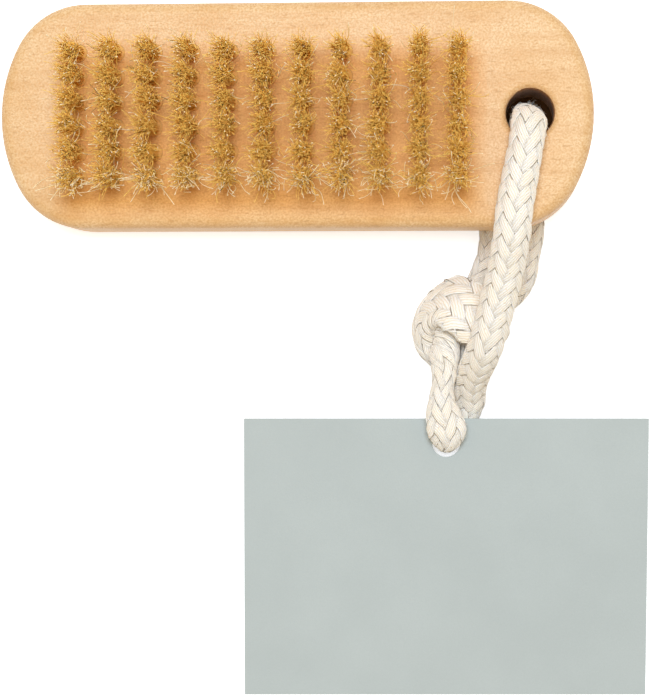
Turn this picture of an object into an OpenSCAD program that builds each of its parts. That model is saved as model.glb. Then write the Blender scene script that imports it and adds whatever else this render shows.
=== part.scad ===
// Wooden nail brush with a braided cord through its hanging hole and a blank card tag on the cord.
// It lies on its back on a table, bristles up. One end rests on the table and the cord,
// which runs under the block, props up the other end. +X runs along the block to the hanging hole,
// -Y is the side that the cord leaves from, and z = 0 is the table.

/* [Block] */
// Length of the wooden block
block_l = 100; // [92:1:120]
// Width of the wooden block
block_w = 38; // [34:1:44]
// Thickness of the wooden block
block_t = 15; // [13:0.5:18]
// Radius of the block's outline at the middle of each end
end_r = 26; // [22:1:34]
// Radius of the block's outline at its four corners
corner_r = 13; // [9:0.5:15]
// Radius that rounds the block's edges
edge_r = 2; // [1:0.25:3]

/* [Hanging hole] */
// Diameter of the hole that the cord goes through
hang_hole_d = 8; // [7.8:0.1:9]
// Distance from the hole's centre to the end of the block
hang_hole_inset = 10.7; // [9:0.1:13]
// Radius that rounds the hole's two mouths
hang_hole_round = 1.2; // [0.6:0.1:1.6]

/* [Bristle tufts] */
// Number of columns of tufts along the block
tuft_columns = 11; // [6:1:11]
// Number of tufts in each column
tuft_rows = 6; // [3:1:6]
// Distance between tufts in a column
row_pitch = 4.2; // [3.8:0.1:4.6]
// Distance from the first column to the plain end of the block
first_column_inset = 13.5; // [12:0.5:16]
// Distance from the last column to the hanging hole's centre
last_column_inset = 11.8; // [9:0.1:14]
// Diameter of each drilled tuft hole
tuft_hole_d = 3; // [2.6:0.1:3.2]
// Depth of each tuft hole
tuft_hole_depth = 8; // [6:0.5:9]
// Height of the bristles above the block
bristle_h = 12; // [8:0.5:16]
// How far the tips spread along the block, from the tuft's middle
tip_spread_x = 1.7; // [1:0.1:2]
// How far the tips spread across the block, from the tuft's middle
tip_spread_y = 1.25; // [0.9:0.05:1.4]
// How far the tips lean to the side that the cord leaves from
tip_lean = 1; // [0:0.1:1.5]

/* [Anchors] */
// Thickness of the flat wire that pins each tuft
anchor_t = 0.45; // [0.3:0.05:0.6]
// Height of the flat wire
anchor_h = 1.8; // [1.2:0.1:2.2]
// Depth of the bevel at each lower corner of the wire
anchor_bevel = 0.4; // [0.2:0.05:0.6]
// Height of the fold of fibres under the wire
fold_h = 0.7; // [0.4:0.1:1]

/* [Cord and tag] */
// Diameter of the braided cord where nothing squeezes it
cord_d = 6; // [5.6:0.1:6.2]
// Diameter of the cord where it is drawn through the tag
cord_neck_d = 3.9; // [3.4:0.1:4]
// Width of the card tag
tag_w = 70; // [50:1:90]
// Height of the card tag
tag_h = 48.6; // [40:0.2:60]
// Thickness of the card
tag_t = 0.4; // [0.3:0.05:0.6]
// Diameter of the hole punched in the tag
tag_hole_d = 4.8; // [4.6:0.1:5.4]
// Distance from the tag hole's centre to the tag's top edge
tag_hole_inset = 4.3; // [3.5:0.1:5]

/* [Hidden] */

// Clearances and overruns
tuft_gap = 0.08;
anchor_gap = 0.06;
prop_gap = 0.1;
tag_gap = 0.6;
overrun = 0.5;
tuft_seat_rise = 0.4;
strand_seat = 1;

// Colours
wood = "#EFC896";
fibre = "#C6A552";
steel = "#B9BCC0";
cotton = "#F2EADB";
card = "#C1C9C6";

// Outline of the block: tangent arcs at each end, joined by straight sides
end_angle = asin((block_w / 2 - corner_r) / (end_r - corner_r));
end_centre_x = block_l / 2 - end_r;
corner_centre_x = end_centre_x + (end_r - corner_r) * cos(end_angle);
corner_centre_y = block_w / 2 - corner_r;
end_steps = 16;
corner_steps = 12;
edge_steps = 5;

// Places on the block
hang_hole_x = block_l / 2 - hang_hole_inset;
hang_hole_r = hang_hole_d / 2;
first_column_x = first_column_inset - block_l / 2;
last_column_x = hang_hole_x - last_column_inset;
column_pitch = (last_column_x - first_column_x) / (tuft_columns - 1);
first_row_y = -row_pitch * (tuft_rows - 1) / 2;
function column_x(i) = first_column_x + i * column_pitch;
function row_y(j) = first_row_y + j * row_pitch;

// The cord lies under the block beside the hanging hole, and so sets the tilt
prop_x = hang_hole_x - hang_hole_r / 2;
tilt = asin((cord_d + prop_gap) / (block_l / 2 - edge_r + prop_x));
centring = block_t * sin(tilt) / 2;

// Tuft sizes
plug_d = tuft_hole_d - 2 * tuft_gap;
plug_h = tuft_hole_depth + tuft_seat_rise - tuft_gap;
strands_round_tuft = 6;
strand_root_share = 0.27;
strand_tip_share = 0.21;
strand_root_d = plug_d * strand_root_share;
strand_tip_d = plug_d * strand_tip_share;
strand_circle_r = plug_d / 2 - strand_root_d / 2 - 2 * tuft_gap;
strand_sides = 3;
bend_share = 0.35;

// Places of the tag: its hole lies on the cord, and its far edge on the table
tag_hole_x = 25.6;
tag_hole_y = -55.6;
tag_lift = cord_neck_d + tag_gap;
tag_tilt = asin(tag_lift / (tag_h - tag_hole_inset));

// Route of the cord as x, y, z, with its diameter there as a share of cord_d.
// It starts at the tail's end under the block's edge, makes an overhand knot, goes down to the tag
// and through its hole, back up over the block, down the hanging hole, and under the block to the knot.
knot_share = 0.7;
neck_share = cord_neck_d / cord_d;
route = [
    [40.1, -17.4, 3, 0.86],
    [39.9, -20.2, 3, 0.86],
    [39.2, -23.4, 3.3, 0.82],
    [38.3, -26.7, 4, 0.74],
    [35.8, -29.4, 4.7, 0.66],
    [33, -31.9, 5.4, 0.62],
    [30.3, -34.6, 6.2, 0.62],
    [30.2, -37.8, 6.5, 0.64],
    [29.6, -40.1, 4.6, 0.68],
    [27.3, -40.9, 2.9, knot_share],
    [24.4, -40.6, 2.2, knot_share],
    [22.5, -38.4, 2.5, knot_share],
    [22, -35.6, 3.3, knot_share],
    [23, -33.2, 4.7, knot_share],
    [24.7, -31.6, 6.6, knot_share],
    [26.3, -31.2, 8.6, knot_share],
    [28.1, -32.2, 10, knot_share],
    [30.1, -33.8, 10.8, knot_share],
    [32.5, -35.3, 10.2, knot_share],
    [34.3, -36.1, 8.1, 0.64],
    [34.4, -36.6, 5.2, 0.62],
    [32.5, -36.5, 2.7, 0.62],
    [29.5, -36.2, 2, 0.62],
    [26.8, -36.2, 3.6, 0.66],
    [25.6, -37.5, 6.1, knot_share],
    [25.2, -40.4, 7.4, 0.72],
    [25.1, -43.6, 8.1, 0.72],
    [24.7, -46.4, 8.2, knot_share],
    [24.7, -49.2, 8.3, 0.76],
    [25.1, -51.6, 8.1, 0.72],
    [25.5, -53.3, 7.8, 0.64],
    [25.6, -54.7, 7.1, 0.6],
    [25.6, -55.3, 5.8, neck_share],
    [25.6, -55.3, 4.2, neck_share],
    [26, -55, 2.7, 0.6],
    [27, -53.9, 2, 0.63],
    [28.6, -52.2, 2, neck_share],
    [29.6, -50.4, 2.2, knot_share],
    [29.8, -48.6, 2.8, 0.74],
    [29.7, -46.2, 4.8, 0.76],
    [30.2, -43.4, 8.2, 0.82],
    [31, -41.1, 11.6, 0.94],
    [31.9, -38.4, 14.7, 1],
    [32.8, -34.8, 16.5, 1],
    [33.7, -31, 18.2, 1],
    [34.6, -27, 19.8, 1],
    [35.2, -23, 21.9, 1],
    [35.6, -20, 23.4, 1],
    [35.8, -17, 24.2, 1],
    [36.8, -11, 24.3, 1],
    [37.8, -5.6, 24.3, 1],
    [38.2, -3, 23.8, 1],
    [38.5, -1.4, 22.2, 1],
    [38.7, -0.8, 19.9, 1],
    [39.2, 0, 13.5, 1],
    [39.6, 0.8, 7.4, 1],
    [39.6, 0.4, 5.5, 1],
    [39.4, -0.8, 4, 1],
    [39.1, -2.6, 3.1, 1],
    [38.7, -4.8, 3, 1],
    [37.8, -8.8, 3, 1],
    [35.9, -13.2, 3, 0.9],
    [34.2, -16.8, 2.8, 0.86],
    [34, -20, 2.8, 0.84],
    [33.5, -23.4, 2.8, 0.78],
    [32.2, -26.2, 2.8, 0.72],
    [30.8, -29, 2.8, knot_share]
];
tail_ends = [0, 3];
knot_ends = [3, 26];
tag_loop_ends = [26, 38];
front_ends = [38, 51];
through_ends = [51, 57];
back_ends = [57, len(route) - 1];
cord_sides = 10;

// Directions along the route, and a side direction that is carried along it without twisting
function at(i) = [route[i].x, route[i].y, route[i].z];
function unit(v) = v / norm(v);
last_point = len(route) - 1;
heading = [for (i = [0 : last_point]) unit(at(min(i + 1, last_point)) - at(max(i - 1, 0)))];
function square_to(v, h) = unit(v - (v * h) * h);
function carry_side(i) = i == 0 ? square_to([1, 0, 0], heading[0]) : square_to(carry_side(i - 1), heading[i]);
side_way = [for (i = [0 : last_point]) carry_side(i)];

function ring(i) = let (
    side = side_way[i],
    up = cross(heading[i], side),
    r = cord_d * route[i][3] / 2
) [for (k = [0 : cord_sides - 1]) at(i) + r * (cos(360 * k / cord_sides) * side + sin(360 * k / cord_sides) * up)];

// Least gap from the cord to itself, where the route comes back past its own earlier points
neighbour_length = 9;
function length_to(i) = i == 0 ? 0 : length_to(i - 1) + norm(at(i) - at(i - 1));
lengths = [for (i = [0 : last_point]) length_to(i)];
cord_gaps = [
    for (i = [0 : last_point], j = [0 : last_point])
        if (lengths[j] - lengths[i] > neighbour_length)
            norm(at(i) - at(j)) - cord_d * (route[i][3] + route[j][3]) / 2
];
echo(cord_length = lengths[last_point], least_cord_gap = min(cord_gaps));

// Closed tube of triangles through rings of equally many points
module lofted(rings) {
    n = len(rings[0]);
    top = (len(rings) - 1) * n;
    points = [for (r = rings, p = r) p];
    walls = [
        for (i = [0 : len(rings) - 2], k = [0 : n - 1])
            let (a = i * n + k, b = i * n + (k + 1) % n)
                each [[a, a + n, b], [b, a + n, b + n]]
    ];
    caps = [for (k = [1 : n - 2]) each [[0, k, k + 1], [top, top + k + 1, top + k]]];
    polyhedron(points, concat(walls, caps), convexity = 4);
}

// One stretch of the cord, between two points of its route
module cord(ends) {
    color(cotton) lofted([for (i = [ends[0] : ends[1]]) ring(i)]);
}

// Lifts what is drawn in the block's own frame, its back at z = 0, into its place on the table and the cord
module on_block() {
    translate([edge_r + centring - block_l / 2, 0, edge_r])
        rotate([0, -tilt, 0])
            translate([block_l / 2 - edge_r, 0, -edge_r])
                children();
}

// Outline of the block, drawn in by an inset, anticlockwise from above
function arc(centre, r, from, to, steps) = [
    for (k = [0 : steps])
        let (turn = from + (to - from) * k / steps)
            centre + r * [cos(turn), sin(turn)]
];
function corner_arc(inset, side) = arc(
    [corner_centre_x, side * corner_centre_y],
    corner_r - inset,
    side > 0 ? end_angle : -90,
    side > 0 ? 90 : -end_angle,
    corner_steps
);
function end_arc(inset) = let (
    whole = arc([end_centre_x, 0], end_r - inset, -end_angle, end_angle, end_steps)
) [for (k = [1 : end_steps - 1]) whole[k]];
function half_outline(inset) = concat(corner_arc(inset, -1), end_arc(inset), corner_arc(inset, 1));
function outline(inset) = concat(half_outline(inset), -half_outline(inset));

// One level of the block's wall, at a turn from 0 at its flat face to 90 where the wall is upright
function wall_ring(turn, top) = let (
    rise = edge_r * (1 - cos(turn)),
    z = top ? block_t - rise : rise
) [for (p = outline(edge_r * (1 - sin(turn)))) [p.x, p.y, z]];

module block_body() {
    lower = [for (k = [0 : edge_steps]) wall_ring(90 * k / edge_steps, false)];
    upper = [for (k = [0 : edge_steps]) wall_ring(90 * (1 - k / edge_steps), true)];
    lofted(concat(lower, upper));
}

// Hanging hole with rounded mouths
module hang_hole() {
    cylinder(h = block_t, d = hang_hole_d, $fn = 64);
    for (flip = [0, 1])
        translate([0, 0, flip * block_t])
            mirror([0, 0, flip])
                rotate_extrude($fn = 64)
                    difference() {
                        translate([0, -overrun])
                            square([hang_hole_r + hang_hole_round, hang_hole_round + overrun]);
                        translate([hang_hole_r + hang_hole_round, hang_hole_round])
                            circle(hang_hole_round, $fn = 32);
                    }
}

module block() {
    color(wood)
        on_block()
            difference() {
                block_body();
                translate([hang_hole_x, 0, 0]) hang_hole();
                for (i = [0 : tuft_columns - 1], j = [0 : tuft_rows - 1])
                    translate([column_x(i), row_y(j), block_t - tuft_hole_depth])
                        cylinder(h = tuft_hole_depth + overrun, d = tuft_hole_d, $fn = 24);
            }
}

// One strand, from inside the plug to its tip, bent outwards a little above the block
module strand(root, tip) {
    bend = root + (tip - root) * bend_share / 2;
    bend_z = bristle_h * bend_share;
    function triangle(c, z, d) = [
        for (k = [0 : strand_sides - 1])
            [c.x + d / 2 * cos(360 * k / strand_sides), c.y + d / 2 * sin(360 * k / strand_sides), z]
    ];
    lofted([
        triangle(root, -strand_seat, strand_root_d),
        triangle(bend, bend_z, strand_root_d),
        triangle(tip, bristle_h, strand_tip_d)
    ]);
}

// One tuft: a plug of packed fibres down the hole, with a slot for its anchor, and its strands above.
// The block's face is at z = 0.
module tuft() {
    difference() {
        translate([0, 0, tuft_seat_rise - plug_h]) cylinder(h = plug_h, d = plug_d, $fn = 24);
        translate([-anchor_t / 2 - anchor_gap, -tuft_hole_d / 2, tuft_seat_rise - plug_h + fold_h])
            cube([anchor_t + 2 * anchor_gap, tuft_hole_d, anchor_h + 2 * anchor_gap]);
    }
    strand([0, 0], [0, -tip_lean]);
    for (k = [0 : strands_round_tuft - 1])
        let (turn = 360 * k / strands_round_tuft)
            strand(
                strand_circle_r * [cos(turn), sin(turn)],
                [tip_spread_x * cos(turn), tip_spread_y * sin(turn) - tip_lean]
            );
}

module tuft_column(i) {
    color(fibre)
        on_block()
            for (j = [0 : tuft_rows - 1])
                translate([column_x(i), row_y(j), block_t]) tuft();
}

// Flat wire that lies across the foot of a tuft, with bevelled lower corners
module anchor() {
    half = tuft_hole_d / 2 - anchor_gap;
    rotate([90, 0, 90])
        translate([0, 0, -anchor_t / 2])
            linear_extrude(anchor_t)
                polygon([
                    [anchor_bevel - half, 0],
                    [half - anchor_bevel, 0],
                    [half, anchor_bevel],
                    [half, anchor_h],
                    [-half, anchor_h],
                    [-half, anchor_bevel]
                ]);
}

module anchor_column(i) {
    color(steel)
        on_block()
            for (j = [0 : tuft_rows - 1])
                translate([column_x(i), row_y(j), block_t + tuft_seat_rise - plug_h + fold_h + anchor_gap])
                    anchor();
}

// Blank card, lifted at its hole by the cord and resting on the table along its far edge. Its hole is
// punched upright, because the card turns on the table about an upright line.
module hang_tag() {
    color(card)
        translate([tag_hole_x, tag_hole_y, tag_lift])
            difference() {
                rotate([tag_tilt, 0, 0])
                    translate([-tag_w / 2, tag_hole_inset - tag_h, 0])
                        cube([tag_w, tag_h, tag_t]);
                translate([0, 0, -overrun])
                    cylinder(h = tag_t + 2 * overrun, d = tag_hole_d, $fn = 64);
            }
}

block();
for (i = [0 : tuft_columns - 1]) {
    tuft_column(i);
    anchor_column(i);
}
cord(tail_ends);  // cord_tail
cord(knot_ends);  // cord_knot
cord(tag_loop_ends);  // cord_tag_loop
cord(front_ends);  // cord_front
cord(through_ends);  // cord_through_hole
cord(back_ends);  // cord_back
hang_tag();
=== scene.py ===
# %% [markdown]
# # A wooden nail brush, its cord and its tag
# The brush lies on its back, bristles up, on a pale table, and a camera looks straight down at it.
# The wood, the bristles, the braided cord and the card are each built and finished in a step of
# their own. Lengths are in metres, because that is Blender's unit.

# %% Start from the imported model
import math

import bpy
import numpy as np
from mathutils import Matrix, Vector


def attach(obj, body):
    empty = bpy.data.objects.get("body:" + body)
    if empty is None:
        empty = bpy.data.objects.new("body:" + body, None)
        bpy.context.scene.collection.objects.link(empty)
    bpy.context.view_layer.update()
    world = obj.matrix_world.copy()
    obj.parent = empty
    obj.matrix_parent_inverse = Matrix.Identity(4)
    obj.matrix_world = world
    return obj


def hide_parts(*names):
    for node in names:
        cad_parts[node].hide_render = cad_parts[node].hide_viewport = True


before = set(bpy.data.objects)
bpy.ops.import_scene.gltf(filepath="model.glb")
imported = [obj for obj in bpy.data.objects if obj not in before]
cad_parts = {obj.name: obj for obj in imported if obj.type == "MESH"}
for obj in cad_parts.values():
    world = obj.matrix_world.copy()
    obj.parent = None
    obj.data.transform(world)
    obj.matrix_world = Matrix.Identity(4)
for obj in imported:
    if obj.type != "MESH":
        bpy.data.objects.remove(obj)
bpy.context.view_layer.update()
MM = 0.001
BRUSH = "brush"

# %% [markdown]
# ## Camera
# The real picture is a flat lay: the camera hangs over the middle of the picture and looks
# straight down. A long lens keeps the sides of the block almost out of sight. A camera with no
# turn looks down -Z with +Y at the top, which is just that.

# %% Camera straight above
CAMERA_PLACE = (4.7 * MM, -39.5 * MM, 430 * MM)
LENS_MM = 126.4
NEAREST_SEEN, FARTHEST_SEEN = 0.01, 10

bpy.ops.object.select_all(action="DESELECT")
bpy.ops.object.camera_add(location=CAMERA_PLACE, rotation=(0, 0, 0))
camera = bpy.context.object
camera.data.lens = LENS_MM
camera.data.clip_start = NEAREST_SEEN
camera.data.clip_end = FARTHEST_SEEN
bpy.context.scene.camera = camera
print("camera at:", [round(v, 4) for v in camera.location], "lens:", LENS_MM)

# %% [markdown]
# ## Materials from nodes
# Every finish here is worked out by nodes, so nothing is painted or loaded. Colours are written as
# hex values, the way a paint card gives them, and Blender wants linear light, so one function turns
# them. One more function adds a node with its settings and links. Most finishes are a base colour
# with others laid over it, each where some value is high or low, so a third function lays them.

# %% Helpers for materials
def linear(hex_colour):
    """A hex colour as the linear red, green, blue and alpha that Blender's sockets take."""
    shares = [int(hex_colour[i : i + 2], 16) / 255 for i in (1, 3, 5)]
    return (*(s / 12.92 if s <= 0.04045 else ((s + 0.055) / 1.055) ** 2.4 for s in shares), 1)


def add_node(material, kind, settings=None, inputs=None):
    """Adds a node, gives it its settings, and fills each input with a value or a link."""
    node = material.node_tree.nodes.new(kind)
    for name, value in (settings or {}).items():
        setattr(node, name, value)
    for key, value in (inputs or {}).items():
        if isinstance(value, bpy.types.NodeSocket):
            material.node_tree.links.new(value, node.inputs[key])
        else:
            node.inputs[key].default_value = value
    return node


def blank_material(name):
    """A new node material with nothing in it."""
    material = bpy.data.materials.new(name)
    material.use_nodes = True
    material.node_tree.nodes.clear()
    return material


print("middle grey as linear light:", round(linear("#808080")[0], 3))

# %% Colours laid over each other
# A Mix node has sockets for each kind of value. These are the numbers of those for colours.
MIX_SHARE, MIX_UNDER, MIX_OVER, MIX_RESULT = 0, 6, 7, 2


def lay_colours(material, base, layers):
    """Colours over a base. A layer is a value, two levels of it, the layer's share at each of
    the two, and its colour, which is a hex value or a socket."""
    colour = linear(base)
    for value, low, high, share_at_low, share_at_high, layer in layers:
        fade = {"From Min": low, "From Max": high, "To Min": share_at_low, "To Max": share_at_high}
        share = add_node(material, "ShaderNodeMapRange", inputs={"Value": value, **fade})
        over = linear(layer) if isinstance(layer, str) else layer
        inputs = {MIX_SHARE: share.outputs[0], MIX_UNDER: colour, MIX_OVER: over}
        mix = add_node(material, "ShaderNodeMix", {"data_type": "RGBA"}, inputs)
        colour = mix.outputs[MIX_RESULT]
    return colour


# %% [markdown]
# ## Table and light
# The table is a white sheet. Its shader adds a little glow that the camera and mirrored or passing
# rays see, and that lights nothing, so the paper reads as white while the object's soft shadow
# still shows. The patch right under the hanging hole is painted dark and has no glow: a painted
# shade, because through the hole one sees only the shade under the block. The light is a wide,
# soft lamp high over the camera, a little towards the far edge, and an even pale sky, as in a
# studio tent. What the camera sees is then lit right down between the tufts, and a soft shadow
# falls towards the near side.

# %% Table
TABLE_SIZE = 3.0
TABLE_WHITE, PAINTED_SHADE_UNDER_HOLE = "#F2F2F2", "#3A2818"
TABLE_GLOW = 0.62
HANG_HOLE_FOOT = (39.9 * MM, 0.6 * MM, 0)
SHADE_R, SHADE_END_R = 4.8 * MM, 5.4 * MM


def table_material():
    """White paper, matt: it has no highlight, only its own white, with a painted shade under the
    hanging hole.
    """
    material = blank_material("white table paper")
    path = add_node(material, "ShaderNodeLightPath").outputs
    seen = path["Is Camera Ray"]
    for ray in ("Is Glossy Ray", "Is Transmission Ray"):
        seen = add_node(
            material, "ShaderNodeMath", {"operation": "MAXIMUM"}, {0: seen, 1: path[ray]}
        ).outputs[0]
    place = add_node(material, "ShaderNodeTexCoord").outputs["Object"]
    off_hole = add_node(
        material, "ShaderNodeVectorMath", {"operation": "DISTANCE"}, {0: place, 1: HANG_HOLE_FOOT}
    ).outputs["Value"]
    out_of_shade = {"Value": off_hole, "From Min": SHADE_R, "From Max": SHADE_END_R}
    open_glow = add_node(
        material, "ShaderNodeMapRange", inputs={**out_of_shade, "To Max": TABLE_GLOW}
    ).outputs[0]
    glow = add_node(
        material, "ShaderNodeMath", {"operation": "MULTIPLY"}, {0: seen, 1: open_glow}
    ).outputs[0]
    # Painted shade: the paper is dark right under the hanging hole, and has no glow there.
    white = [(off_hole, SHADE_R, SHADE_END_R, 0, 1, TABLE_WHITE)]
    paper = {
        "Base Color": lay_colours(material, PAINTED_SHADE_UNDER_HOLE, white),
        "Roughness": 0.9,
        "Specular IOR Level": 0.1,
        "Emission Color": (1, 1, 1, 1),
        "Emission Strength": glow,
    }
    surface = add_node(material, "ShaderNodeBsdfPrincipled", inputs=paper).outputs[0]
    add_node(material, "ShaderNodeOutputMaterial", inputs={"Surface": surface})
    return material


bpy.ops.mesh.primitive_plane_add(size=TABLE_SIZE)
table = bpy.context.object
table.name = "table"
table.data.materials.append(table_material())
print("table:", TABLE_SIZE, "m across")

# %% Light
SKY_STRENGTH = 0.55
SKY_COLOUR = "#FFEBCB"
KEY_PLACE = (-0.03, 0.17, 1.06)
KEY_AIM = (0, -0.03, 0)
KEY_SIZE = 0.4
KEY_POWER = 10.6
KEY_COLOUR = "#E2EFFF"

world = bpy.data.worlds.new("pale studio")
bpy.context.scene.world = world
world.use_nodes = True
world.node_tree.nodes["Background"].inputs["Color"].default_value = linear(SKY_COLOUR)
world.node_tree.nodes["Background"].inputs["Strength"].default_value = SKY_STRENGTH

bpy.ops.object.light_add(type="AREA", location=KEY_PLACE)
key_light = bpy.context.object
key_light.data.size = KEY_SIZE
key_light.data.energy = KEY_POWER
key_light.data.color = linear(KEY_COLOUR)[:3]
aim = Vector(KEY_AIM) - Vector(KEY_PLACE)
key_light.rotation_euler = aim.to_track_quat("-Z", "Y").to_euler()
bpy.context.scene.view_settings.view_transform = "Standard"
print("lamp:", KEY_POWER, "W,", round(aim.length, 2), "m off")

# %% [markdown]
# ## Building many thin things
# The cord is sixteen plaited bands and the brush has thousands of fibres. Each is a tube through a
# row of rings, so one function makes tubes from rings, many at once, and one turns the points and
# faces into a finished piece. Shaping so many by hand in edit mode would take hours, and a
# particle system gives hair that doesn't export.

# %% Helpers for tubes and pieces
def tube_faces(rings, sides, first):
    """Faces of a closed tube: rings * sides points from index first, rings anticlockwise seen from
    the far end."""
    i, k = np.meshgrid(np.arange(rings - 1), np.arange(sides), indexing="ij")
    here, there = first + i * sides, first + (i + 1) * sides
    after = (k + 1) % sides
    walls = np.stack([here + k, here + after, there + after, there + k], axis=-1).reshape(-1, 4)
    last = first + (rings - 1) * sides
    ends = [[first + k for k in range(sides - 1, -1, -1)], [last + k for k in range(sides)]]
    return walls.tolist() + ends


def make_piece(name, points, faces, material):
    """A smooth mesh object at the origin, with its place in its points."""
    mesh = bpy.data.meshes.new(name)
    mesh.from_pydata(points, [], faces)
    mesh.polygons.foreach_set("use_smooth", [True] * len(mesh.polygons))
    mesh.materials.append(material)
    piece = bpy.data.objects.new(name, mesh)
    bpy.context.scene.collection.objects.link(piece)
    return piece


def add_values(piece, name, values):
    """Stores one number for each point of a piece, for its material to read."""
    attribute = piece.data.attributes.new(name, "FLOAT", "POINT")
    attribute.data.foreach_set("value", np.asarray(values, np.float32))


def triangles(piece):
    """How many triangles a piece has."""
    return sum(len(p.vertices) - 2 for p in piece.data.polygons)


print("faces of a three-sided tube with eight rings:", len(tube_faces(8, 3, 0)))

# %% [markdown]
# ## The cord's route
# One cord does everything: from its end under the block it makes an overhand knot, runs down to
# the tag and through its hole, comes back up over the block, goes down the hanging hole and
# returns under the block to the knot. The points are the same as in the construction model. Each
# has the cord's width and its thickness there as shares of its full width, because the knot and
# the tag's hole squeeze it flat or thin. A smooth curve goes through the points.

# %% Route of the cord
CORD_WIDTH = 0.006
ROUTE = [
    (0.0401, -0.0174, 0.0030, 0.9, 0.86),
    (0.0399, -0.0202, 0.0030, 0.9, 0.86),
    (0.0392, -0.0234, 0.0033, 0.9, 0.8),
    (0.0383, -0.0267, 0.0040, 1, 0.72),
    (0.0358, -0.0294, 0.0047, 1.12, 0.6),
    (0.0330, -0.0319, 0.0054, 0.9, 0.56),
    (0.0303, -0.0346, 0.0062, 0.62, 0.62),
    (0.0302, -0.0378, 0.0065, 0.66, 0.64),
    (0.0296, -0.0401, 0.0046, 0.76, 0.74),
    (0.0273, -0.0409, 0.0029, 0.84, 0.74),
    (0.0244, -0.0406, 0.0022, 0.72, 0.74),
    (0.0225, -0.0384, 0.0025, 0.8, 0.76),
    (0.0220, -0.0356, 0.0033, 1.02, 0.76),
    (0.0230, -0.0332, 0.0047, 1.3, 0.8),
    (0.0247, -0.0316, 0.0066, 1.6, 0.7),
    (0.0263, -0.0312, 0.0086, 1.7, 0.62),
    (0.0281, -0.0322, 0.0100, 1.72, 0.6),
    (0.0301, -0.0338, 0.0108, 1.62, 0.62),
    (0.0325, -0.0353, 0.0102, 1.3, 0.66),
    (0.0343, -0.0361, 0.0081, 0.7, 0.64),
    (0.0344, -0.0366, 0.0052, 0.62, 0.62),
    (0.0325, -0.0365, 0.0027, 0.62, 0.62),
    (0.0295, -0.0362, 0.0020, 0.62, 0.62),
    (0.0268, -0.0362, 0.0036, 0.7, 0.66),
    (0.0256, -0.0375, 0.0061, 1.1, 0.72),
    (0.0252, -0.0404, 0.0074, 0.94, 0.74),
    (0.0251, -0.0436, 0.0081, 0.74, 0.72),
    (0.0247, -0.0464, 0.0082, 0.66, 0.7),
    (0.0247, -0.0492, 0.0083, 0.88, 0.74),
    (0.0251, -0.0516, 0.0081, 1.08, 0.7),
    (0.0255, -0.0533, 0.0078, 1.14, 0.62),
    (0.0256, -0.0547, 0.0071, 1, 0.6),
    (0.0256, -0.0553, 0.0058, 0.7, 0.65),
    (0.0256, -0.0553, 0.0042, 0.65, 0.65),
    (0.0260, -0.0550, 0.0027, 0.6, 0.6),
    (0.0270, -0.0539, 0.0020, 0.63, 0.63),
    (0.0286, -0.0522, 0.0020, 0.65, 0.65),
    (0.0296, -0.0504, 0.0022, 0.7, 0.7),
    (0.0298, -0.0486, 0.0028, 0.9, 0.74),
    (0.0297, -0.0462, 0.0048, 0.95, 0.78),
    (0.0302, -0.0434, 0.0082, 0.98, 0.84),
    (0.0310, -0.0411, 0.0116, 1.02, 0.92),
    (0.0319, -0.0384, 0.0147, 1.02, 0.98),
    (0.0328, -0.0348, 0.0165, 1.04, 0.96),
    (0.0337, -0.0310, 0.0182, 1.05, 0.95),
    (0.0346, -0.0270, 0.0198, 1.06, 0.94),
    (0.0352, -0.0230, 0.0219, 1.06, 0.94),
    (0.0356, -0.0200, 0.0234, 1.06, 0.94),
    (0.0358, -0.0170, 0.0242, 1.06, 0.94),
    (0.0368, -0.0110, 0.0243, 1.04, 0.94),
    (0.0378, -0.0056, 0.0243, 1, 1),
    (0.0382, -0.0030, 0.0238, 1.02, 0.86),
    (0.0385, -0.0014, 0.0222, 1.02, 0.76),
    (0.0387, -0.0008, 0.0199, 1, 0.74),
    (0.0392, 0.0000, 0.0135, 1, 0.64),
    (0.0396, 0.0008, 0.0074, 0.95, 0.62),
    (0.0396, 0.0004, 0.0055, 1, 0.66),
    (0.0394, -0.0008, 0.0040, 1, 0.8),
    (0.0391, -0.0026, 0.0031, 1, 1),
    (0.0387, -0.0048, 0.0030, 1, 1),
    (0.0378, -0.0088, 0.0030, 1, 1),
    (0.0359, -0.0132, 0.0030, 0.9, 0.9),
    (0.0342, -0.0168, 0.0028, 0.9, 0.86),
    (0.0340, -0.0200, 0.0028, 0.88, 0.84),
    (0.0335, -0.0234, 0.0028, 0.86, 0.78),
    (0.0322, -0.0262, 0.0028, 0.8, 0.72),
    (0.0308, -0.0290, 0.0028, 0.72, 0.7),
]


# %% Smooth curve
ROUTE_STEP = 0.5 * MM
STEPS_BETWEEN = 12


def smooth_route(points, step):
    """Points about step apart on a Catmull-Rom curve through the given ones."""
    points = np.array(points, float)
    ends = [2 * points[0] - points[1], *points, 2 * points[-1] - points[-2]]
    line = []
    for a, b, c, d in zip(ends, ends[1:], ends[2:], ends[3:]):
        pairs = ((a, b), (b, c), (c, d))
        gaps = [max(np.linalg.norm(q[:3] - p[:3]), 1e-6) ** 0.5 for p, q in pairs]
        t0, t1, t2, t3 = np.concatenate([[0], np.cumsum(gaps)])
        for t in np.linspace(t1, t2, STEPS_BETWEEN + 1)[:-1]:
            ab = (t1 - t) / (t1 - t0) * a + (t - t0) / (t1 - t0) * b
            bc = (t2 - t) / (t2 - t1) * b + (t - t1) / (t2 - t1) * c
            cd = (t3 - t) / (t3 - t2) * c + (t - t2) / (t3 - t2) * d
            abc = (t2 - t) / (t2 - t0) * ab + (t - t0) / (t2 - t0) * bc
            bcd = (t3 - t) / (t3 - t1) * bc + (t - t1) / (t3 - t1) * cd
            line.append((t2 - t) / (t2 - t1) * abc + (t - t1) / (t2 - t1) * bcd)
    line = np.array([*line, points[-1]])
    steps = np.linalg.norm(np.diff(line[:, :3], axis=0), axis=1)
    along = np.concatenate([[0], np.cumsum(steps)])
    at = np.linspace(0, along[-1], int(along[-1] / step) + 1)
    return np.stack([np.interp(at, along, column) for column in line.T], axis=1), at


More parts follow.
